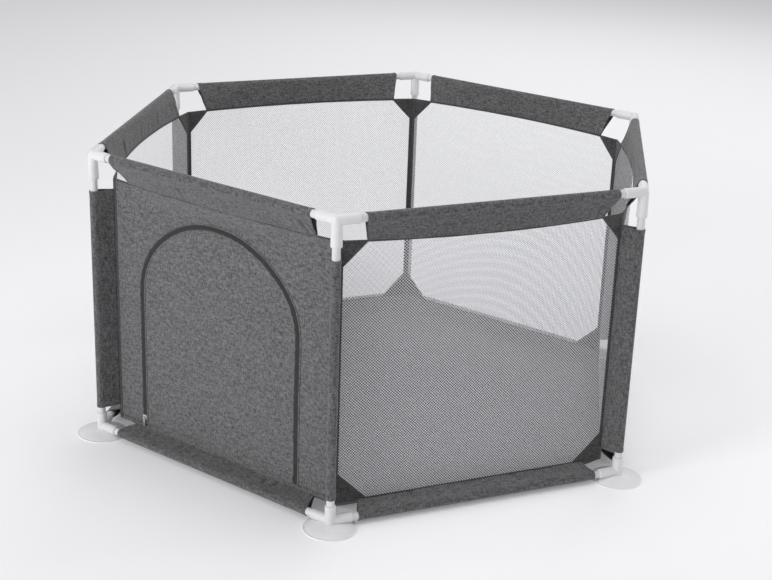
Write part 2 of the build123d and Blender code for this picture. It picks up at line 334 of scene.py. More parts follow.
def tape_finish(name, colour, pitch=1.6 * MM):
    """Ribbed woven tape: ribs of a pitch run across it, over a worn and uneven colour."""
    finish = Finish(name, Roughness=0.8, Sheen_Weight=0.15, Specular_IOR_Level=0.3)
    u, v, _ = finish.split(finish.coordinates("UV"))
    wear = finish.specks(u, v, 150.0, 150.0, detail=3.0)
    finish.colour(finish.mix(contrast(wear, 0.3, 0.8), colour, shaded(colour, 1.9)))
    rib = (u * (2 * pi / pitch)).sine() * 0.5 + 0.5
    finish.bump(rib * 0.7 + wear * 0.3, 0.25 * MM)
    return finish.material


def floor_finish(name, colour):
    """Coated floor cloth: a tight square weave under a thin film that shines a little along folds."""
    finish = Finish(name, Specular_IOR_Level=0.35)
    u, v, _ = finish.split(finish.coordinates("UV"))
    cloud = finish.specks(u, v, 9.0, 9.0, detail=4.0)
    grain = finish.specks(u, v, 700.0, 700.0, detail=1.0, shift=2.0)
    tone = contrast(cloud * 0.5 + grain * 0.5, 0.3, 0.7)
    finish.colour(finish.mix(tone, colour, shaded(colour, 1.7)))
    finish.set(finish.shader, {"Roughness": contrast(cloud, 0.2, 0.9) * 0.25 + 0.5})
    finish.bump(weave(u, v, 1.0 * MM) * 0.6 + grain * 0.4, 0.2 * MM)
    return finish.material


def net_finish(name, colour, pitch):
    """Knitted net: round holes in two grids, one set half a pitch off the other."""
    finish = Finish(name, Roughness=0.7, Sheen_Weight=0.1, Specular_IOR_Level=0.3)
    u, v, _ = finish.split(finish.coordinates("UV"))
    x = u / pitch
    y = v / pitch
    gaps = []
    for shift in (0.0, 0.5):
        across = (x + shift).fraction() - 0.5
        upward = (y + shift).fraction() - 0.5
        gaps.append(across * across + upward * upward)
    gap = gaps[0].lesser(gaps[1])
    hole = gap.below(0.098, edge=0.02)
    finish.set(finish.shader, {"Alpha": 1.0 - hole})
    twist = finish.specks(u, v, 1500.0, 1500.0, detail=1.0)
    finish.colour(finish.mix(contrast(twist, 0.3, 0.7), shaded(colour, 0.72), colour))
    finish.bump(contrast(gap, 0.1, 0.22) * 0.7 + twist * 0.3, 0.25 * MM)
    return finish.material


def moulded_finish(name, colour, roughness, grain):
    """Moulded plastic: a faint spark-eroded grain, with slightly uneven gloss and colour."""
    finish = Finish(name, Specular_IOR_Level=0.45)
    place = finish.coordinates("Object")
    cloud = finish.noise(place, 35.0, 3.0)
    speckle = finish.noise(place, 1400.0, 2.0)
    finish.colour(finish.mix(contrast(cloud, 0.25, 0.75), shaded(colour, 0.93), colour))
    finish.set(finish.shader, {"Roughness": contrast(cloud, 0.2, 0.8) * 0.12 + roughness})
    finish.bump(speckle * 0.6 + cloud * 0.4, grain)
    return finish.material


def metal_finish(name, colour):
    """Plated zinc: bright, with fine polishing lines and duller patches."""
    finish = Finish(name, Metallic=1.0)
    place = finish.coordinates("Object")
    x, y, z = finish.split(place)
    lines = finish.noise(finish.join(x * 3000.0, y * 3000.0, z * 300.0), 1.0, 2.0)
    dull = finish.noise(place, 500.0, 2.0)
    finish.colour(finish.mix(contrast(dull, 0.3, 0.7), shaded(colour, 0.8), colour))
    finish.set(finish.shader, {"Roughness": contrast(lines, 0.3, 0.7) * 0.15 + 0.2})
    finish.bump(lines, 0.03 * MM)
    return finish.material


# Meshes --------------------------------------------------------------------------------------------
def add_piece(name, points, faces, uv, finish, body, replaced=()):
    """Makes a piece from points, four-sided faces, a UV in metres for each point and a finish's name."""
    mesh = bpy.data.meshes.new(name)
    points = np.asarray(points, np.float32).reshape(-1, 3)
    faces = np.asarray(faces, np.int32).reshape(-1, 4)
    mesh.vertices.add(len(points))
    mesh.vertices.foreach_set("co", points.ravel())
    mesh.loops.add(faces.size)
    mesh.loops.foreach_set("vertex_index", faces.ravel())
    mesh.polygons.add(len(faces))
    mesh.polygons.foreach_set("loop_start", np.arange(0, faces.size, 4, dtype=np.int32))
    mesh.update(calc_edges=True)
    mesh.validate()
    layer = mesh.uv_layers.new(name="UVMap")
    layer.data.foreach_set("uv", np.asarray(uv, np.float32).reshape(-1, 2)[faces.ravel()].ravel())
    mesh.shade_smooth()
    mesh.materials.append(bpy.data.materials[finish])
    piece = bpy.data.objects.new(name, mesh)
    bpy.context.scene.collection.objects.link(piece)
    if body:
        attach(piece, body)
    if replaced:
        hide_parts(*replaced)
    return piece


def grid_faces(rows, columns, close_rows=False, close_columns=False, flip=False):
    """Faces of a grid of points, rows by columns, joined round at its ends where it is closed."""
    row = np.arange(rows if close_rows else rows - 1)[:, None]
    column = np.arange(columns if close_columns else columns - 1)[None, :]
    next_row = (row + 1) % rows
    next_column = (column + 1) % columns
    corners = [
        row * columns + column,
        next_row * columns + column,
        next_row * columns + next_column,
        row * columns + next_column,
    ]
    if flip:
        corners.reverse()
    return np.stack([np.broadcast_to(c, (row.size, column.size)) for c in corners], -1).reshape(-1, 4)


def thicken(piece, thickness):
    """Gives a sheet its thickness, half on each side."""
    solid = piece.modifiers.new("Thickness", "SOLIDIFY")
    solid.thickness = thickness
    solid.offset = 0.0
    solid.use_even_offset = False


def run_length(points):
    """Length along a line of points, from its start to each of them."""
    steps = np.linalg.norm(np.diff(points, axis=0), axis=1)
    return np.concatenate(([0.0], np.cumsum(steps)))


def pairs(first, second):
    """Two arrays of values, spread over each other, as one array of pairs."""
    return np.stack(np.broadcast_arrays(first, second), -1)


def oval_band(length, wide, high, turns, end, radius, power=1.0):
    """An oval carried along a line, smaller at its two ends: how far each of its points lies across the
    line and above it, and its UV. A power under 1 makes the oval squarer across, and the radius sets how
    far round it the UV runs."""
    turn = np.linspace(0, 2 * pi, turns, endpoint=False)
    size = np.ones((len(length), 1))
    size[[0, -1]] = end
    bend = np.cos(turn)
    across = np.sign(bend) * abs(bend) ** power * wide * size
    above = np.sin(turn) * high * size
    return across, above, pairs(length[:, None], turn * radius)


def grow_step(values, start, end):
    """0 below start and 1 above end, smooth in between."""
    share = np.clip((values - start) / (end - start), 0.0, 1.0)
    return share * share * (3 - 2 * share)


def bow(x):
    """A parabola along a side: 1 at its middle and 0 at its corners."""
    return np.clip(1 - (x / TUB_HALF) ** 2, 0.0, None)


def drawn_out(number, x, y):
    """How far the rail draws a wall outward there: nothing at its foot and its corners, most at its top.

    A net leans straight from foot to top. The door wall stays flat up to the crown of its arch, so that
    the open flap lies flat, and curves out above that by half as much."""
    draw = bpy.context.scene.playyard_sizes.draw
    start, power, full = TUB_BOTTOM, 1.0, draw
    if number == DOOR_SIDE:
        start, power, full = ARCH_TOP, 1.5, draw / 2
    rise = np.clip((y - start) / (TUB_TOP - start), 0.0, None)
    return full * bow(x) * rise**power


def pulled_up(number, x, y):
    """How far the door wall's cloth is pulled up round the crown of its arch, where the rail holds it."""
    if number != DOOR_SIDE:
        return 0.0 * y
    rise, fall = grow_step(y, SLIDER_TOP, DOOR_CROWN), grow_step(y, DOOR_CROWN, TUB_TOP)
    return CROWN_LIFT * bow(x) * rise * (1 - fall)


def wall_points(number, x, y, lift=0.0):
    """Points on a wall of the tub: x along the side from its middle, y up from the ground, lift outward."""
    x, y, lift = np.broadcast_arrays(x, y, lift)
    return (
        x[..., None] * side_way(number)
        + (WALL_REACH + lift + drawn_out(number, x, y))[..., None] * wall_way(number)
        + (y + pulled_up(number, x, y))[..., None] * UP
    )


def creases(rng, along, across, length, count, depth, width):
    """Sum of random creases across a band: each is a bell along the band, slanted, deeper to one edge."""
    place = rng.uniform(-0.5, 0.5, count) * length
    slant = rng.uniform(-0.35, 0.35, count) * 0.05
    size = rng.uniform(0.5, 1.3, count) * width
    height = rng.uniform(-1.0, 0.7, count) * depth
    lean = rng.uniform(0.0, 1.0, count)
    centre = place + slant * (across[..., None] - 0.5)
    bell = np.exp(-(((along[..., None] - centre) / size) ** 2))
    reach = (1 - lean) * across[..., None] + lean * (1 - across[..., None]) + 0.35
    return (bell * height * reach).sum(-1)


def ripples(rng, x, y, wave, depth, count=7):
    """Sum of random plane waves, with lengths about a wave: gentle unevenness of a hung cloth."""
    angle = rng.uniform(0, pi, count)
    length = rng.uniform(0.6, 1.8, count) * wave
    phase = rng.uniform(0, 2 * pi, count)
    turns = 2 * pi / length
    sweep = x[..., None] * np.cos(angle) * turns + y[..., None] * np.sin(angle) * turns
    return np.sin(sweep + phase).sum(-1) * depth / count**0.5


# Sleeves -------------------------------------------------------------------------------------------
def loop_profile(reach, rise, radius, flat_steps, round_steps=15):
    """A loop of cloth round a tube at the origin, drawn flat to its seam at (-reach, rise).

    The two flats are the outer tangent lines of the tube's circle and the seam's small circle, and the
    round part is the tube's circle on the far side. Returns its points, normals, the share of the way
    from the tube to the seam, and the length along the cloth."""
    apart = (reach**2 + rise**2) ** 0.5
    heading = atan2(rise, -reach)
    lean = np.arccos((radius - SEAM_RADIUS) / apart)
    share = np.linspace(0.0, 1.0, flat_steps)
    seam_point = np.array((-reach, rise))
    points, normals, nearness = [], [], []
    for side, shares in ((-1, 1 - share), (1, share)):
        angle = heading + side * lean
        normal = np.array((cos(angle), sin(angle)))
        start = radius * normal
        end = seam_point + SEAM_RADIUS * normal
        points.append(start + shares[:, None] * (end - start))
        normals.append(np.broadcast_to(normal, (flat_steps, 2)))
        nearness.append(shares)
    angles = heading + np.linspace(-lean, lean - 2 * pi, round_steps)[1:-1]
    bend = np.stack((np.cos(angles), np.sin(angles)), -1)
    points.insert(1, radius * bend)
    normals.insert(1, bend)
    nearness.insert(1, np.zeros(len(angles)))
    points, normals, nearness = (np.concatenate(part) for part in (points, normals, nearness))
    return points, normals, nearness, run_length(points)


def sew_sleeve(name, axes, profile, half, cut, seed, replaced, draw=np.zeros_like):
    """A sleeve: the loop profile carried along a tube, with puckers at its ends, creases and hems.

    Its ends are cut at a slant: the half length is shorter by cut at the seam. Puckers are waves along
    the tube that die away from the ends, and creases are random bells on each of the two flats. Nothing
    sinks into the tube. draw gives how far the seam is drawn outward at a place along the tube. Returns
    the piece, the cloth's length round the tube and its mean length along it."""
    origin, along, outward, upward = axes
    points, normals, nearness, length = profile
    rng = np.random.default_rng(seed)
    columns, crowding = 190, 1.25
    share = np.linspace(-1, 1, columns)
    share = np.sign(share) * (1 - (1 - abs(share)) ** crowding)
    half_here = half - cut * nearness
    along_here = share[None, :] * half_here[:, None]
    near = np.broadcast_to(nearness[:, None], along_here.shape)
    from_end = half_here[:, None] - abs(along_here)
    side = np.where(np.arange(len(points)) < len(points) / 2, -1.0, 1.0)[:, None]
    wave, fade = rng.uniform(9, 13) * MM, 30 * MM
    pucker = np.exp(-from_end / fade) * np.sin(2 * pi * along_here / wave + rng.uniform(0, 6, 1) + side)
    lift = 0.9 * MM * pucker * near
    for face in (-1.0, 1.0):
        deep = creases(rng, along_here, near, 2 * half, 12, 3.8 * MM, 5 * MM)
        fine = creases(rng, along_here, near, 2 * half, 30, 1.4 * MM, 3 * MM)
        belly = ripples(rng, along_here, near * 70 * MM, 120 * MM, 0.8 * MM)
        off_tube, at_seam = grow_step(near, 0.16, 0.42), grow_step(near, 0.93, 1.0)
        lift = lift + (side == face) * off_tube * (1 - 0.7 * at_seam) * (deep + fine + belly)
    lift = np.maximum(lift, -0.7 * SLEEVE_RADIUS * (1 - near))
    hem = 0.5 * MM * (1 - grow_step(from_end, 7 * MM, 9 * MM))
    lift = lift + hem * (1 - grow_step(near, 0.9, 1.0))
    flat = points[:, None, :] + lift[..., None] * normals[:, None, :]
    flat[..., 0] += near * draw(along_here)
    place = origin + along_here[..., None] * along + flat[..., :1] * outward + flat[..., 1:] * upward
    uv = pairs(along_here + 1.0, length[:, None])
    faces = grid_faces(len(points), columns)
    # The sleeves take the darker copy of the linen, which is painted shade on the walls' own cloth
    piece = add_piece(name, place, faces, uv, "Sleeve Linen", "frame", replaced)
    thicken(piece, bpy.context.scene.playyard_sizes.cloth)
    return piece, float(length[-1]), float(2 * half_here.mean())


class PLAYYARD_OT_sleeves(bpy.types.Operator):
    """Sews the cloth sleeves that go round the rails and posts"""

    bl_idname = "playyard.sleeves"
    bl_label = "Sleeves"

    def execute(self, context):
        sizes = context.scene.playyard_sizes
        radius = SLEEVE_RADIUS - sizes.cloth / 2
        past_edge = 1.8 * MM
        for number in NUMBERS:
            self.rail_sleeve(sizes, number, "top", radius, TOP_RAIL, TUB_TOP + past_edge, 24)
        for number in NUMBERS:
            self.rail_sleeve(sizes, number, "bottom", radius, BOTTOM_RAIL, TUB_BOTTOM - past_edge, 14)
        for number in NUMBERS:
            self.post_sleeve(sizes, number, radius)
        return {"FINISHED"}

    def rail_sleeve(self, sizes, number, level, radius, height, seam_height, steps):
        """A sleeve from a rail at a height to the tub's edge, drawn outward with the edge."""
        profile = loop_profile(RAIL_REACH - WALL_REACH, seam_height - height, radius, steps)
        out, way = wall_way(number), side_way(number)
        half = POST_REACH / 2 - sizes.rail_gap
        cut = half - (TUB_HALF - sizes.tub_gap)
        seed = sizes.seed + SLEEVE_SEEDS[level] + number

        def draw(x):
            return drawn_out(number, x, np.full(x.shape, seam_height))

        axes = (RAIL_REACH * out + height * UP, way, out, UP)
        name, nodes = f"{level}_sleeve_{number}", [f"{level}_sleeves"]
        piece, around, long = sew_sleeve(name, axes, profile, half, cut, seed, nodes, draw)

    def post_sleeve(self, sizes, number, radius):
        """A sleeve from a post to the tub's corner."""
        profile = loop_profile(POST_REACH - TUB_CORNER - 1 * MM, 0.0, radius, 14)
        low, high = POST_SLEEVE
        out = outer_way(number)
        axes = (POST_REACH * out + (low + high) / 2 * UP, UP, out, np.cross(UP, out))
        name, seed = f"post_sleeve_{number}", sizes.seed + SLEEVE_SEEDS["post"] + number
        piece, around, long = sew_sleeve(name, axes, profile, (high - low) / 2, 0.0, seed, ["post_sleeves"])


# Walls ---------------------------------------------------------------------------------------------
class PLAYYARD_OT_nets(bpy.types.Operator):
    """Hangs the five net walls of the tub"""

    bl_idname = "playyard.nets"
    bl_label = "Net Walls"

    def execute(self, context):
        seed = context.scene.playyard_sizes.seed + NET_SEED
        rows, columns = 60, 66
        share, rise = np.meshgrid(np.linspace(0, 1, columns), np.linspace(0, 1, rows), indexing="ij")
        x, y = TUB_HALF * (2 * share - 1), TUB_BOTTOM + TUB_HEIGHT * rise
        held = np.sin(pi * share) * np.sin(pi * rise)
        faces, uv = grid_faces(columns, rows), pairs(x, y)
        for number in NET_SIDES:
            rng = np.random.default_rng(seed + number)
            lift = held * (ripples(rng, x, y, 350 * MM, 1.5 * MM) - 2.0 * MM)
            name, nodes = f"net_panel_{number}", [f"mesh_wall_{number}"]
            place = wall_points(number, x, y, lift)
            piece = add_piece(name, place, faces, uv, "Net", "frame", nodes)
        return {"FINISHED"}


def door_sway(x, y, seed):
    """How far the door wall's cloth stands out of its plane: gentle waves, none at its sewn edges and
    none where the zip's slider runs."""
    rng = np.random.default_rng(seed)
    from_side, from_foot, from_top = TUB_HALF - abs(x), y - TUB_BOTTOM, TUB_TOP - y
    held = np.clip(from_side / (50 * MM), 0, 1)
    held = held * np.clip(from_foot / (40 * MM), 0, 1) * np.clip(from_top / (40 * MM), 0, 1)
    beside = grow_step(abs(x - (DOOR_MIDDLE - DOOR_HALF)), 12 * MM, 45 * MM)
    above = grow_step(y, SLIDER_TOP + 10 * MM, SLIDER_TOP + 60 * MM)
    return held * np.maximum(beside, above) * ripples(rng, x, y, 300 * MM, 1.4 * MM, 9)


def arch_line(sizes, grow, steps=160):
    """The door's outline above its foot, from the left foot to the right: x, y and outward normal.

    Two straight legs, two shoulder arcs of the haunch radius and one crown arc that meets them
    smoothly, all grown outward by the same distance."""
    rise = sizes.crown
    spring = DOOR_CROWN - rise
    shoulder = DOOR_HALF - sizes.haunch
    crown = (shoulder**2 + rise**2 - sizes.haunch**2) / (2 * (rise - sizes.haunch))
    drop = crown - rise
    sweep = atan2(drop, shoulder)
    angle = np.linspace(pi, 0.0, steps)
    left, right = angle > pi - sweep, angle < sweep
    radius = np.where(left | right, sizes.haunch, crown) + grow
    centre_x = np.where(left, -shoulder, np.where(right, shoulder, 0.0))
    centre_y = np.where(left | right, spring, spring - drop)
    normal = np.stack((np.cos(angle), np.sin(angle)), -1)
    bend = np.stack((DOOR_MIDDLE + centre_x, centre_y), -1) + radius[:, None] * normal
    up = np.linspace(FOLD, spring, 60)[:-1]
    left_leg, right_leg = (pairs(DOOR_MIDDLE + way * (DOOR_HALF + grow), up) for way in (-1, 1))
    sideways = np.tile((1.0, 0.0), (len(up), 1))
    return np.concatenate((left_leg, bend, right_leg[::-1])), np.concatenate((-sideways, normal, sideways))


def spaced(points, normals, pitch):
    """Points and normals at an even pitch along a line, and the length along it to each."""
    length = run_length(points)
    places = np.linspace(0.0, length[-1], max(2, int(round(length[-1] / pitch)) + 1))
    even = np.stack([np.interp(places, length, points[:, k]) for k in (0, 1)], -1)
    outward = np.stack([np.interp(places, length, normals[:, k]) for k in (0, 1)], -1)
    return even, outward / np.linalg.norm(outward, axis=1, keepdims=True), places


def on_door(x, y, lift, seed):
    """Points on the door wall, standing out with its cloth."""
    return wall_points(DOOR_SIDE, x, y, lift + door_sway(x, y, seed))


def area_inside(outline):
    """Area inside an outline of points, by the shoelace rule."""
    x, y = outline[:, 0], outline[:, 1]
    return abs((x * np.roll(y, -1) - y * np.roll(x, -1)).sum()) / 2


def merge_doubles(points, faces):
    """Joins points that lie within a hundredth of a millimetre: which to keep, and the faces renumbered."""
    keys = np.round(points / (0.01 * MM)).astype(np.int64)
    _, first, where = np.unique(keys, axis=0, return_index=True, return_inverse=True)
    return first, where.reshape(-1)[faces]


class PLAYYARD_OT_door_wall(bpy.types.Operator):
    """Sews the closed cloth wall round the arch, and the arch door's flap"""

    bl_idname = "playyard.door_wall"
    bl_label = "Door Wall"

    def execute(self, context):
        sizes = context.scene.playyard_sizes
        self.wall(sizes)
        self.flap(sizes)
        return {"FINISHED"}

    def wall(self, sizes):
        """Rows run from the arch's outline straight out to the wall's edge, with a strip under the fold.

        Over the arch they spread like rays from the middle of the line between the tops of its legs, two
        of them moved to the wall's top corners. Beside the legs they are level."""
        inner, _ = arch_line(sizes, sizes.welt)
        spring = DOOR_CROWN - sizes.crown
        edge = TUB_HALF - 1 * MM
        away = inner - (DOOR_MIDDLE, spring)
        above = inner[:, 1] > spring
        angle = np.arctan2(away[:, 1], away[:, 0])
        tiny = 1e-6
        steep = np.where(above, np.maximum(np.sin(angle), tiny), tiny)
        side_x = np.where(inner[:, 0] < DOOR_MIDDLE, -edge, edge)
        to_side = np.abs(side_x - DOOR_MIDDLE) / np.maximum(abs(np.cos(angle)), tiny)
        to_top = (TUB_TOP - spring) / steep
        reach = np.minimum(to_side, to_top)
        outer = np.stack((DOOR_MIDDLE + reach * np.cos(angle), spring + reach * np.sin(angle)), -1)
        outer[~above] = np.stack((side_x, inner[:, 1]), -1)[~above]
        for corner in ((-edge, TUB_TOP), (edge, TUB_TOP)):
            outer[np.linalg.norm(outer - corner, axis=1).argmin()] = corner
        steps = 22
        share = np.linspace(0.0, 1.0, steps)[None, :, None]
        ring = inner[:, None, :] + share * (outer - inner)[:, None, :]
        faces = [grid_faces(len(inner), steps, flip=True)]
        left, right = ring[0, ::-1, 0], ring[-1, :, 0]
        middle = np.linspace(left[-1], right[0], 90)[1:-1]
        x = np.concatenate((left, middle, right))
        y = np.linspace(TUB_BOTTOM, FOLD, 5)
        strip = pairs(x[:, None], y)
        faces.append(grid_faces(len(x), len(y)) + ring.shape[0] * steps)
        flat = np.concatenate((ring.reshape(-1, 2), strip.reshape(-1, 2)))
        first, faces = merge_doubles(flat, np.concatenate(faces))
        flat = flat[first]
        points = on_door(flat[:, 0], flat[:, 1], 0.0, sizes.seed)
        nodes = ["door_wall"]
        piece = add_piece("door_wall_cloth", points, faces, flat, "Linen", "frame", nodes)
        thicken(piece, sizes.cloth)
        area = 2 * edge * TUB_HEIGHT - area_inside(inner)

    def flap(self, sizes):
        """Columns stand on the fold and end on the arch, closer together towards the legs."""
        outline, _ = arch_line(sizes, -sizes.welt)
        half = DOOR_HALF - sizes.welt
        share = np.sin(pi / 2 * np.linspace(-1, 1, 120))
        x = DOOR_MIDDLE + half * share
        bend = outline[outline[:, 1] >= DOOR_CROWN - sizes.crown]
        top = np.interp(x, bend[:, 0], bend[:, 1])
        y = FLAP_FOOT + (top - FLAP_FOOT)[:, None] * np.linspace(0, 1, 110)[None, :]
        x = np.broadcast_to(x[:, None], y.shape)
        points = on_door(x, y, 0.0, sizes.seed)
        faces = grid_faces(*y.shape)
        uv, nodes = pairs(x, y), ["door_flap"]
        piece = add_piece("door_flap_cloth", points, faces, uv, "Linen", None, nodes)
        thicken(piece, sizes.cloth)
        bend_door(piece)
        size = (2 * half, float(top.max() - FLAP_FOOT))
        area_inside(outline)


def bend_door(piece):
    """Bakes a door piece's place into its mesh. The points at the door's foot and just above its fold are
    found but not used.
    """
    foot = wall_points(DOOR_SIDE, np.array(DOOR_MIDDLE), np.array(FOLD - 1 * MM))
    top = wall_points(DOOR_SIDE, np.array(DOOR_MIDDLE), np.array(FOLD + 14 * MM))
    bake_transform(piece)


class PLAYYARD_OT_zip(bpy.types.Operator):
    """Sews the zip round the arch: its tapes, teeth and welts"""

    bl_idname = "playyard.zip"
    bl_label = "Zip"

    def execute(self, context):
        sizes = context.scene.playyard_sizes
        for side, part, node in ((1, "wall", "zip_tape_wall"), (-1, "door", "zip_tape_door")):
            self.tape(sizes, side, part, node)
            self.teeth(sizes, side, part)
            self.welt(sizes, side, part)
        return {"FINISHED"}

    def settle(self, piece, part):
        """The wall's side of the zip rides on the frame, and the door's side has its place baked into its
        mesh.
        """
        if part == "door":
            bend_door(piece)
        else:
            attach(piece, "frame")

    def beside_pull(self, points, side):
        """Where the door's side of the zip would swing through the hanging pull as the door folds down."""
        pull_top = FOLD + 18 * MM
        return (points[:, 0] < DOOR_MIDDLE) & (points[:, 1] < pull_top) & (side < 0)

    def tape(self, sizes, side, part, node):
        """A strip along the arch, from the teeth out to under the welt."""
        points, normals = arch_line(sizes, 0.0)
        points, normals, length = spaced(points, normals, 4 * MM)
        inner = np.where(self.beside_pull(points, side), 3.4, 0.8) * MM
        across = side * (inner[:, None] + (7.2 * MM - inner)[:, None] * np.linspace(0, 1, 4))
        flat = points[:, None, :] + across[..., None] * normals[:, None, :]
        place = on_door(flat[..., 0], flat[..., 1], 0.0, sizes.seed)
        faces, uv = grid_faces(*across.shape, flip=side > 0), pairs(length[:, None], across)
        name = f"zip_tape_cloth_{part}"
        piece = add_piece(name, place, faces, uv, "Zip Tape", None, [node])
        thicken(piece, 0.8 * MM)
        self.settle(piece, part)

    def teeth(self, sizes, side, part):
        """One row of teeth: a small rounded block for each pitch, the two rows half a pitch apart.

        A block is an eight-sided ring at each of four stations across the zip, closed by three faces at
        either end."""
        points, normals = arch_line(sizes, 0.0)
        points, normals, _ = spaced(points, normals, sizes.tooth_pitch)
        if side < 0:
            points, normals = (points[:-1] + points[1:]) / 2, normals[:-1]
        clear = ~self.beside_pull(points, side)
        points, normals = points[clear], normals[clear]
        along = np.stack((-normals[:, 1], normals[:, 0]), -1)
        sides, radius = 8, 0.85 * MM
        ring = np.linspace(0, 2 * pi, sides, endpoint=False) + pi / sides
        shell_x, shell_z = np.cos(ring) * radius * 0.9, np.sin(ring) * radius * 1.15
        reach = side * np.array((-0.9, -0.5, 1.9, 2.3)) * MM
        shrink = np.array((0.6, 1.0, 1.0, 0.7))
        x = (
            points[:, None, None, :]
            + reach[None, :, None, None] * normals[:, None, None, :]
            + (shell_x * shrink[:, None])[None, ..., None] * along[:, None, None, :]
        )
        base = door_sway(points[:, 0], points[:, 1], sizes.seed)[:, None, None]
        place = wall_points(DOOR_SIDE, x[..., 0], x[..., 1], shell_z * shrink[:, None] + base)
        stations = len(reach)
        first = np.array(((0, 1, 2, 7), (2, 3, 6, 7), (3, 4, 5, 6)))
        last = first[:, ::-1] + (stations - 1) * sides
        ends = np.concatenate((first, last))
        if side < 0:
            ends = ends[:, ::-1]
        walls = grid_faces(stations, sides, close_columns=True, flip=side < 0)
        tooth = np.concatenate((walls, ends))
        faces = tooth + stations * sides * np.arange(len(points))[:, None, None]
        uv = np.zeros((len(points) * stations * sides, 2))
        piece = add_piece(f"zip_teeth_{part}", place, faces, uv, "Zip Teeth", None)
        self.settle(piece, part)

    def welt(self, sizes, side, part):
        """A folded edge of cloth beside the tape: an oval cord along the arch, closed at its ends."""
        points, normals = arch_line(sizes, side * sizes.welt)
        points, normals, length = spaced(points, normals, 3 * MM)
        across, above, uv = oval_band(length, 1.9 * MM, 1.6 * MM, 12, 0.3, 1.8 * MM)
        flat = points[:, None, :] + across[..., None] * normals[:, None, :]
        place = on_door(flat[..., 0], flat[..., 1], above + 0.5 * MM, sizes.seed)
        faces = grid_faces(*across.shape, close_columns=True)
        piece = add_piece(f"zip_welt_{part}", place, faces, uv, "Linen", None)
        self.settle(piece, part)


# Bindings and gussets ------------------------------------------------------------------------------
class PLAYYARD_OT_bindings(bpy.types.Operator):
    """Sews the tapes over the tub's corner seams and its top and bottom edges"""

    bl_idname = "playyard.bindings"
    bl_label = "Bindings"

    def execute(self, context):
        sizes = context.scene.playyard_sizes
        for number in NUMBERS:
            self.corner(number)
            for level, height in (("top", TUB_TOP), ("bottom", TUB_BOTTOM)):
                self.edge(sizes, number, level, height)
        return {"FINISHED"}

    def corner(self, number):
        """A tape folded over a corner: two legs along the walls and a small round between them."""
        leg, bend, over = 6.5 * MM, 1.5 * MM, 2 * MM
        half_angle = pi / SIDES
        turn = np.linspace(-1, 1, 7) * half_angle
        round_part = bend * np.stack((np.cos(turn) - 1, np.sin(turn)), -1)
        lean = np.array((-sin(half_angle), cos(half_angle)))
        reach = np.linspace(leg, 1 * MM, 4)[:, None]
        right = round_part[-1] + reach * lean
        left = round_part[0] + reach * lean * (1, -1)
        profile = np.concatenate((left, round_part, right[::-1]))
        height = np.linspace(TUB_BOTTOM - over, TUB_TOP + over, 60)
        out = outer_way(number)
        ring = (TUB_CORNER + profile[:, :1]) * out + profile[:, 1:] * np.cross(UP, out)
        place = ring[:, None, :] + height[:, None] * UP
        length = run_length(profile)
        faces, uv = grid_faces(len(profile), len(height)), pairs(height, length[:, None])
        name, nodes = f"corner_tape_{number}", ["corner_bindings"]
        piece = add_piece(name, place, faces, uv, "Binding", "frame", nodes)
        thicken(piece, 2.0 * MM)

    def edge(self, sizes, number, level, height):
        """A bound edge along a wall: a rounded band, waving a little, closed at both ends. Under the door it
        is the wall's own cloth."""
        rng = np.random.default_rng(sizes.seed + EDGE_SEEDS[level] + number)
        x = np.linspace(-TUB_HALF + 4 * MM, TUB_HALF - 4 * MM, 150)
        up, lift, uv = oval_band(x, 2.0 * MM, 1.7 * MM, 14, 0.2, 2 * MM, power=0.6)
        wave = ripples(rng, x, 0 * x, 90 * MM, 0.4 * MM)
        place = wall_points(number, x[:, None], height + up, lift + wave[:, None])
        faces = grid_faces(*up.shape, close_columns=True, flip=True)
        plain = number == DOOR_SIDE and level == "bottom"
        finish, slot = ("Linen", "linen") if plain else ("Binding", "dark_cloth")
        add_piece(f"{level}_edge_tape_{number}", place, faces, uv, finish, "frame")


class PLAYYARD_OT_gussets(bpy.types.Operator):
    """Sews the cloth triangles in the corners of the net walls"""

    bl_idname = "playyard.gussets"
    bl_label = "Gussets"

    def execute(self, context):
        sizes = context.scene.playyard_sizes
        levels = (
            ("top", TUB_TOP, -1, sizes.top_gusset),
            ("bottom", TUB_BOTTOM, 1, sizes.bottom_gusset),
        )
        for number in NET_SIDES:
            for level, edge, up, size in levels:
                for hand, way in (("left", -1), ("right", 1)):
                    self.triangle(f"{level}_gusset_{hand}_{number}", number, level, edge, up, size, way)
                    self.cord(f"{level}_gusset_tape_{hand}_{number}", number, edge, up, size, way)
        return {"FINISHED"}

    def triangle(self, name, number, level, edge, up, size, way):
        """Rows shrink from the wall's edge, which is at a height, to the far point up or down the corner."""
        wide, high = size
        steps, narrowing = 14, 0.97
        rise, across = np.meshgrid(np.linspace(0, 1, steps), np.linspace(0, 1, steps), indexing="ij")
        x = way * (TUB_HALF - across * wide * (1 - narrowing * rise))
        y = edge + up * rise * high
        faces = grid_faces(steps, steps, flip=way * up > 0)
        place, uv, nodes = wall_points(number, x, y), pairs(x, y), [f"{level}_gussets"]
        piece = add_piece(name, place, faces, uv, "Gusset Cloth", "frame", nodes)
        thicken(piece, 3.2 * MM)

    def cord(self, name, number, edge, up, size, way):
        """An oval cord along the triangle's slanted side, a little longer than it and closed at its ends."""
        wide, high = size
        start = np.array((way * (TUB_HALF - wide), edge))
        run = np.array((way * (TUB_HALF - 2 * MM), edge + up * high)) - start
        long = np.linalg.norm(run)
        share = np.linspace(-0.02, 1.02, 30)
        across, above, uv = oval_band(share * long, 2.6 * MM, 1.7 * MM, 10, 0.2, 2 * MM)
        normal = np.array((-run[1], run[0])) / long
        flat = (start + share[:, None] * run)[:, None, :] + across[..., None] * normal
        place = wall_points(number, flat[..., 0], flat[..., 1], above)
        faces = grid_faces(*across.shape, close_columns=True)
        add_piece(name, place, faces, uv, "Binding", "frame")


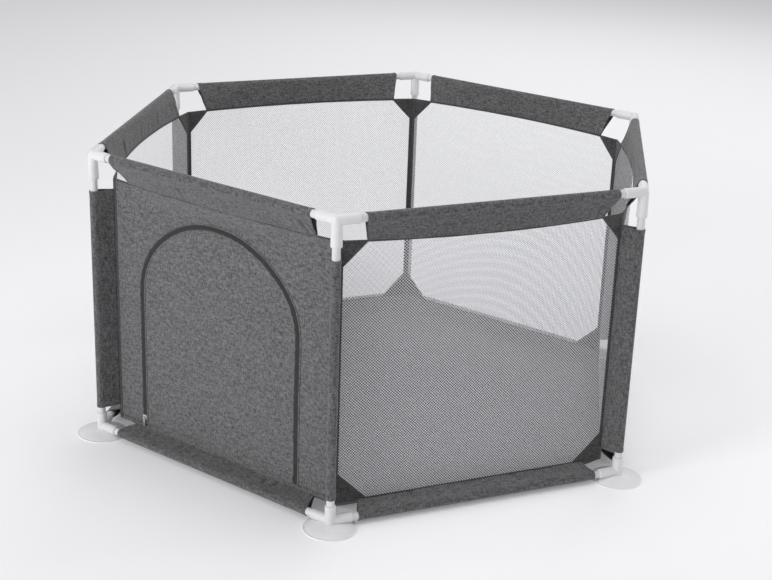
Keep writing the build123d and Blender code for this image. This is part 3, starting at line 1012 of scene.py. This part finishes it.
class PLAYYARD_OT_floor(bpy.types.Operator):
    """Lays the tub's floor, sewn to the walls' lower edges"""

    bl_idname = "playyard.floor"
    bl_label = "Floor"

    def execute(self, context):
        """Rings of points from the middle out to the walls, rising to them near the edge.

        Low folds cross it, squared waves that are nowhere below the cloth, and it puckers where it rises
        in the six corners. A fan of four-sided faces closes the middle."""
        sizes = context.scene.playyard_sizes
        rng = np.random.default_rng(sizes.seed + FLOOR_SEED)
        turns, rings = 240, 70
        lying, wall = FLOOR_TOP - 0.6 * MM, WALL_REACH - 1 * MM
        angle = np.linspace(0, 2 * pi, turns, endpoint=False)
        within = (angle + pi / 2) % (pi / 3) - pi / 6
        share = np.linspace(0.004, 1.0, rings)
        reach = share * (wall / np.cos(within))[:, None]
        x, y = reach * np.cos(angle)[:, None], reach * np.sin(angle)[:, None]
        rise = grow_step(share * wall, FLAT_REACH - 8 * MM, WALL_REACH + 22 * MM)
        lift = rise / rise.max() * (TUB_BOTTOM - FLOOR_TOP)
        held = np.sin(pi * share) ** 0.5
        folds = ripples(rng, x, y, 450 * MM, 1.0 * MM, 9) ** 2 / MM * held
        in_corner = np.cos(3 * (angle + pi / 2)) ** 12
        pucker = (in_corner * np.sin(38 * angle))[:, None] * grow_step(share, 0.75, 0.95)
        z = lying + lift + np.clip(folds, 0, 4 * MM) + 1.2 * MM * pucker
        place = np.stack((x, y, np.maximum(z, 1.2 * MM)), -1).reshape(-1, 3)
        points = np.concatenate((place, [(0.0, 0.0, lying)]))
        inmost = np.arange(turns) * rings
        near, middle, far = inmost[::2], inmost[1::2], np.roll(inmost, -2)[::2]
        fan = np.stack((np.full(len(near), len(place)), near, middle, far), -1)
        faces = np.concatenate((grid_faces(turns, rings, close_rows=True, flip=True), fan))
        uv, nodes = points[:, :2], ["tub_floor", "floor_skirt"]
        piece = add_piece("floor_cloth", points, faces, uv, "Floor Cloth", "frame", nodes)
        thicken(piece, sizes.cloth)
        return {"FINISHED"}


# Finishes ------------------------------------------------------------------------------------------
class PLAYYARD_OT_finishes(bpy.types.Operator):
    """Makes every finish, and gives the frame's own parts theirs"""

    bl_idname = "playyard.finishes"
    bl_label = "Finishes"

    def execute(self, context):
        colours = context.scene.playyard_colours
        linen_finish("Linen", colours.linen_dark, colours.linen_light)
        # The sleeves' linen is the walls' linen darkened to 0.85: painted shade, not a different cloth
        linen_finish("Sleeve Linen", colours.linen_dark, colours.linen_light, 0.85)
        linen_finish("Gusset Cloth", colours.linen_dark, colours.linen_light, 0.45)
        tape_finish("Binding", colours.binding)
        tape_finish("Zip Tape", colours.zip_tape, 0.9 * MM)
        floor_finish("Floor Cloth", colours.floor)
        net_finish("Net", colours.net, context.scene.playyard_sizes.net_pitch)
        moulded_finish("Moulded Plastic", colours.plastic, 0.34, 0.05 * MM)
        moulded_finish("Coated Steel", colours.tube, 0.28, 0.08 * MM)
        moulded_finish("Soft Foot", colours.foot, 0.42, 0.05 * MM)
        moulded_finish("Zip Teeth", colours.zip_tape, 0.4, 0.02 * MM)
        metal_finish("Plated Zinc", colours.metal)
        finishes = {
            "post_": "Coated Steel",
            "top_rail_": "Coated Steel",
            "bottom_rail_": "Coated Steel",
            "top_connector_": "Moulded Plastic",
            "bottom_connector_": "Moulded Plastic",
            "suction_foot_": "Soft Foot",
        }
        chosen = {f"{stem}{n}": name for stem, name in finishes.items() for n in NUMBERS}
        chosen.update(zip_slider="Plated Zinc", zip_pull="Plated Zinc")
        for node, name in chosen.items():
            mesh = frame["nodes"][node].data
            mesh.materials.clear()
            mesh.materials.append(bpy.data.materials[name])
        return {"FINISHED"}


# Stage ---------------------------------------------------------------------------------------------
class PLAYYARD_OT_stage(bpy.types.Operator):
    """Sets up a pale floor, soft studio lights and the camera"""

    bl_idname = "playyard.stage"
    bl_label = "Stage"

    def execute(self, context):
        self.backdrop(context)
        self.lights(context)
        self.camera(context)
        return {"FINISHED"}

    def backdrop(self, context):
        """A pale floor that gives a little light of its own."""
        mesh = bpy.data.meshes.new("stage_floor")
        reach = 14.0
        corners = [(-reach, -reach, 0), (reach, -reach, 0), (reach, reach, 0), (-reach, reach, 0)]
        mesh.from_pydata(corners, [], [(0, 1, 2, 3)])
        floor = bpy.data.objects.new("stage_floor", mesh)
        context.scene.collection.objects.link(floor)
        paint = Finish("Stage", Roughness=0.75, Specular_IOR_Level=0.15, Emission_Strength=0.17)
        paint.set(paint.shader, {"Emission Color": (0.97, 0.97, 1.0, 1.0)})
        cloud = paint.noise(paint.coordinates("Object"), 0.4, 2.0)
        paint.colour(paint.mix(cloud, (0.86, 0.86, 0.87), (0.9, 0.9, 0.91)))
        mesh.materials.append(paint.material)

    def lights(self, context):
        """An even pale world, and square lamps: name, place, the point aimed at, side in metres, watts."""
        world = bpy.data.worlds.new("Studio")
        world.use_nodes = True
        background = world.node_tree.nodes["Background"].inputs
        background["Color"].default_value = (0.93, 0.93, 0.95, 1.0)
        background["Strength"].default_value = 0.42
        context.scene.world = world
        context.scene.view_settings.view_transform = "Standard"
        lamps = (
            ("key", (-3.5, -3.7, 1.8), (0, 0, 0.3), 2.0, 125.0),
            ("fill", (4.2, -2.6, 2.6), (0, 0, 0.3), 3.0, 16.0),
            ("side", (4.4, 1.9, 1.1), (0, 0, 0.4), 1.8, 55.0),
            ("top", (0.1, -0.3, 2.5), (0, 0.3, 0.4), 1.2, 14.0),
            ("back", (0.5, 4.5, 3.5), (0, 0, 0.2), 3.5, 60.0),
        )
        for name, place, aim, size, power in lamps:
            data = bpy.data.lights.new(name, "AREA")
            data.size = size
            data.energy = power
            lamp = bpy.data.objects.new(name, data)
            lamp.location = place
            lamp.rotation_euler = (Vector(aim) - Vector(place)).to_track_quat("-Z", "Y").to_euler()
            context.scene.collection.objects.link(lamp)

    def camera(self, context):
        """A look down on the play yard from in front, turned a little about its own line of sight."""
        azimuth, elevation, roll = radians(-6.654), radians(20.183), radians(2.074)
        ahead = Vector((sin(azimuth) * cos(elevation), cos(azimuth) * cos(elevation), -sin(elevation)))
        right = Vector((cos(azimuth), -sin(azimuth), 0.0))
        above = right.cross(ahead)
        across = cos(roll) * right + sin(roll) * above
        upright = -sin(roll) * right + cos(roll) * above
        data = bpy.data.cameras.new("camera")
        data.lens = 68.35
        data.sensor_width = 36.0
        camera = bpy.data.objects.new("camera", data)
        turn = Matrix((across, upright, -ahead)).transposed()
        camera.matrix_world = Matrix.Translation((0.3808, -3.1114, 1.4128)) @ turn.to_4x4()
        context.scene.collection.objects.link(camera)
        context.scene.camera = camera


class PLAYYARD_PT_panel(bpy.types.Panel):
    """Lists the steps and sizes of the play yard"""

    bl_idname = "PLAYYARD_PT_panel"
    bl_label = "Play Yard"
    bl_space_type = "VIEW_3D"
    bl_region_type = "UI"
    bl_category = "Play Yard"

    def draw(self, context):
        for step in STEPS:
            self.layout.operator(step.bl_idname)
        for group in (context.scene.playyard_sizes, context.scene.playyard_colours):
            for name in group.__annotations__:
                self.layout.prop(group, name)


STEPS = (
    PLAYYARD_OT_finishes,
    PLAYYARD_OT_sleeves,
    PLAYYARD_OT_nets,
    PLAYYARD_OT_door_wall,
    PLAYYARD_OT_zip,
    PLAYYARD_OT_bindings,
    PLAYYARD_OT_gussets,
    PLAYYARD_OT_floor,
    PLAYYARD_OT_stage,
)
CLASSES = (Sizes, Colours, *STEPS, PLAYYARD_PT_panel)


def register():
    for one in CLASSES:
        bpy.utils.register_class(one)
    bpy.types.Scene.playyard_sizes = PointerProperty(type=Sizes)
    bpy.types.Scene.playyard_colours = PointerProperty(type=Colours)


def unregister():
    del bpy.types.Scene.playyard_colours
    del bpy.types.Scene.playyard_sizes
    for one in reversed(CLASSES):
        bpy.utils.unregister_class(one)


def main():
    register()
    for step in STEPS:
        group, name = step.bl_idname.split(".")
        getattr(getattr(bpy.ops, group), name)()


if __name__ == "__main__":
    main()
